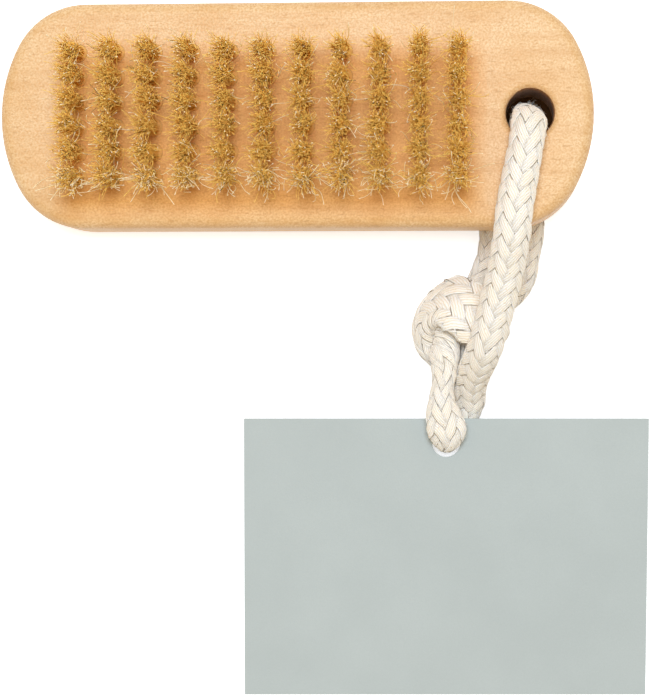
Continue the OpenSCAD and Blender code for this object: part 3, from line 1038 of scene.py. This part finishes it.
def fibre_material():
    """Dried and cut plant fibre: ochre to gold, some fibres dark brown, paler towards the tips,
    partly where they are cut and partly as painted light. Its fine surface gives the eye a golden
    sheen and no sharp highlight."""
    material = blank_material("plant fibre")
    tone, pale, along = (
        add_node(material, "ShaderNodeAttribute", {"attribute_name": name}).outputs["Fac"]
        for name in ("tone", "pale", "along")
    )
    place = add_node(material, "ShaderNodeTexCoord").outputs["Object"]
    strands = add_node(
        material, "ShaderNodeMapping", inputs={"Vector": place, "Scale": STRAND_STRETCH}
    ).outputs[0]
    spread = {"Vector": strands, "Scale": 1 / (CLUMP_MM * MM), "Detail": 2}
    clumps = add_node(material, "ShaderNodeTexNoise", inputs=spread).outputs["Fac"]
    # The rings of a packed middle carry the stations of a fibre's rings, so its foot, up to just
    # over the hole's mouth, is at 0.55 and below. There it is painted in the wood's colour, a
    # painted shade that stands for the hole's shaded rim.
    packed = lay_colours(
        material,
        SHADED_FIBRE,
        [(clumps, 0.36, 0.62, 0, 1, PACKED_FIBRE), (along, 0.56, 0.68, 1, 0, FOOT_PAINTED_AS_SHADED_RIM)],
    )
    colour = lay_colours(
        material,
        OCHRE,
        [
            (tone, 0, 0.5, 0, 1, GOLD),
            (tone, 0.5, 0.95, 0, 1, LIGHT_GOLD),
            # Paler towards the tips: partly the paler cut ends, partly painted light where the tips
            # catch it.
            (along, 0.65, 1, 0, 0.5, CUT_AND_LIT_TIP),
            (tone, 1.2, 1.3, 0, 1, DARK_FIBRE),
            (tone, -0.6, -0.2, 1, 0, packed),
            (pale, 0, 1, 0, 1, WHITE_FIBRE),
        ],
    )
    plant = {
        "Base Color": colour,
        "Roughness": 0.5,
        "Specular IOR Level": 0.2,
        "Sheen Weight": 1.0,
        "Sheen Roughness": 0.5,
        "Sheen Tint": linear("#FFD06C"),
    }
    surface = add_node(material, "ShaderNodeBsdfPrincipled", inputs=plant).outputs[0]
    add_node(material, "ShaderNodeOutputMaterial", inputs={"Surface": surface})
    return material


dried_fibre = fibre_material()
print("nodes in the fibre's material:", len(dried_fibre.node_tree.nodes))

# %% All eleven columns
total = 0
for i in range(COLUMNS):
    column = bristle_column(i, dried_fibre)
    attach(column, BRUSH)
    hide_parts(f"tuft_column_{i + 1}")
    total += triangles(column)
print("bristle triangles:", total)

# %% [markdown]
# ## Card tag and anchors
# The tag is a die-cut piece of uncoated card, so its shape is right as it comes. Its look is the
# card: a grey green, a faint cloudiness and short paper fibres. It stays blank. The anchors are
# bits of flat drawn wire deep in the block, and they only need a plain bright finish.

# %% Card
CARD_PALE, CARD_DEEP, CARD_GRIT = "#B6BEBC", "#B2BAB8", "#A9B1AF"
# The card's cloudiness and its paper fibres, in millimetres, with the detail of each. Real paper
# fibres are about 0.03 mm wide, and are drawn 0.25 mm wide so that they show.
CARD_PATTERNS = ((14, 3), (0.25, 2))


def card_material():
    """Card, dyed in the pulp and left uncoated: matt, with pale and dark paper fibres too fine to
    see singly. It gives the eye an even, chalky tone."""
    material = blank_material("uncoated card")
    place = add_node(material, "ShaderNodeTexCoord").outputs["Object"]
    cloud, grit = (
        add_node(
            material,
            "ShaderNodeTexNoise",
            inputs={"Vector": place, "Scale": 1 / (size * MM), "Detail": detail},
        ).outputs["Fac"]
        for size, detail in CARD_PATTERNS
    )
    grit = add_node(
        material, "ShaderNodeMapRange", inputs={"Value": grit, "From Min": 0.35, "From Max": 0.7}
    ).outputs[0]
    layers = [(cloud, 0.35, 0.65, 0, 1, CARD_DEEP), (grit, 0, 1, 0, 0.25, CARD_GRIT)]
    relief = {"Height": grit, "Distance": 0.02 * MM, "Strength": 0.5}
    card = {
        "Base Color": lay_colours(material, CARD_PALE, layers),
        "Normal": add_node(material, "ShaderNodeBump", inputs=relief).outputs[0],
        "Roughness": 0.85,
        "Specular IOR Level": 0.25,
    }
    surface = add_node(material, "ShaderNodeBsdfPrincipled", inputs=card).outputs[0]
    add_node(material, "ShaderNodeOutputMaterial", inputs={"Surface": surface})
    return material


grey_card = card_material()
print("nodes in the card's material:", len(grey_card.node_tree.nodes))

# %% Wire
# Real draw lines are too fine to see, about 0.005 mm, and are drawn 0.05 mm wide here.
WIRE_DULL, WIRE_BRIGHT = "#B0B3B7", "#C9CCD0"
DRAW_LINE_MM = 0.05
DRAW_STRETCH = (1, 0.05, 1)


def wire_material():
    """Steel wire, drawn through a die, which leaves fine lines along it. They give the eye a
    bright, streaky shine."""
    material = blank_material("drawn steel wire")
    place = add_node(material, "ShaderNodeTexCoord").outputs["Object"]
    lines = add_node(
        material, "ShaderNodeMapping", inputs={"Vector": place, "Scale": DRAW_STRETCH}
    ).outputs[0]
    spread = {"Vector": lines, "Scale": 1 / (DRAW_LINE_MM * MM), "Detail": 2}
    drawn = add_node(material, "ShaderNodeTexNoise", inputs=spread).outputs["Fac"]
    steel = {
        "Base Color": lay_colours(material, WIRE_DULL, [(drawn, 0, 1, 0, 1, WIRE_BRIGHT)]),
        "Metallic": 1.0,
        "Roughness": 0.35,
    }
    surface = add_node(material, "ShaderNodeBsdfPrincipled", inputs=steel).outputs[0]
    add_node(material, "ShaderNodeOutputMaterial", inputs={"Surface": surface})
    return material


drawn_wire = wire_material()
print("nodes in the wire's material:", len(drawn_wire.node_tree.nodes))

# %% Finishes for the tag and the anchors
def finish_node(name, material):
    """Gives a CAD node its material."""
    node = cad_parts[name]
    node.data.materials.clear()
    node.data.materials.append(material)


finish_node("hang_tag", grey_card)
for i in range(COLUMNS):
    finish_node(f"anchor_column_{i + 1}", drawn_wire)
print("finished nodes:", 1 + COLUMNS)
